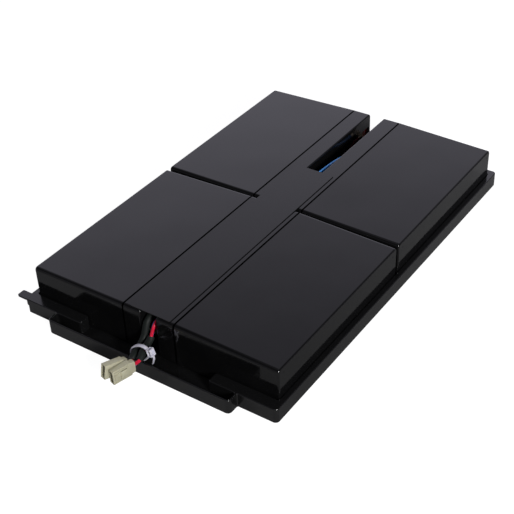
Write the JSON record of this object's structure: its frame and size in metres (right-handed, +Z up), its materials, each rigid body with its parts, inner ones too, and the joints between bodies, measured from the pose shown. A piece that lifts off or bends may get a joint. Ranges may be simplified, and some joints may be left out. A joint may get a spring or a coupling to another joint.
{
  "type": "ups battery cartridge",
  "caption": "Flat battery cartridge of a rack UPS: slim sealed batteries lying in a moulded tray, with a covered wiring channel and corded connectors",
  "frame": {"origin": "on the tray's underside, below the middle of the four batteries", "axes": "X across the tray, +Y from the connectors to the rear, +Z up"},
  "size_m": [0.2173, 0.3522, 0.0356],
  "materials": {
    "tray_plastic": "black moulded polystyrene, low sheen",
    "case_plastic": "near-black moulded case, satin",
    "lid_plastic": "near-black moulded lid, satin",
    "cover_film": "thin black strip, satin",
    "plated_brass": "tinned brass",
    "seal_red": "red resin",
    "seal_black": "black resin",
    "wire_red": "red PVC insulation",
    "wire_blue": "blue PVC insulation",
    "wire_black": "black PVC insulation",
    "sleeve": "black sleeve over two wires",
    "connector_white": "natural nylon",
    "tie_white": "natural white nylon"
  },
  "bodies": {
    "root": {"tray": "tray_plastic", "channel_cover": "cover_film", "battery_case_front_left": "case_plastic", "battery_lid_front_left": "lid_plastic", "vent_cover_front_left": "lid_plastic", "terminal_positive_front_left": "plated_brass", "terminal_seal_positive_front_left": "seal_red", "socket_positive_front_left": "plated_brass", "terminal_negative_front_left": "plated_brass", "terminal_seal_negative_front_left": "seal_black", "socket_negative_front_left": "plated_brass", "battery_case_rear_left": "case_plastic", "battery_lid_rear_left": "lid_plastic", "vent_cover_rear_left": "lid_plastic", "terminal_positive_rear_left": "plated_brass", "terminal_seal_positive_rear_left": "seal_red", "socket_positive_rear_left": "plated_brass", "terminal_negative_rear_left": "plated_brass", "terminal_seal_negative_rear_left": "seal_black", "socket_negative_rear_left": "plated_brass", "jumper_left": "wire_black", "battery_case_front_right": "case_plastic", "battery_lid_front_right": "lid_plastic", "vent_cover_front_right": "lid_plastic", "terminal_positive_front_right": "plated_brass", "terminal_seal_positive_front_right": "seal_red", "socket_positive_front_right": "plated_brass", "terminal_negative_front_right": "plated_brass", "terminal_seal_negative_front_right": "seal_black", "socket_negative_front_right": "plated_brass", "battery_case_rear_right": "case_plastic", "battery_lid_rear_right": "lid_plastic", "vent_cover_rear_right": "lid_plastic", "terminal_positive_rear_right": "plated_brass", "terminal_seal_positive_rear_right": "seal_red", "socket_positive_rear_right": "plated_brass", "terminal_negative_rear_right": "plated_brass", "terminal_seal_negative_rear_right": "seal_black", "socket_negative_rear_right": "plated_brass", "jumper_right": "wire_black", "lead_right_positive": "wire_red", "lead_left_positive": "wire_red", "lead_right_negative": "wire_blue", "lead_left_negative": "wire_black", "cord_near": "sleeve", "cord_far": "sleeve", "connector_housing_near": "connector_white", "connector_housing_far": "connector_white", "connector_contacts_near": "plated_brass", "connector_contacts_far": "plated_brass", "cable_tie": "tie_white"}
  },
  "joints": []
}
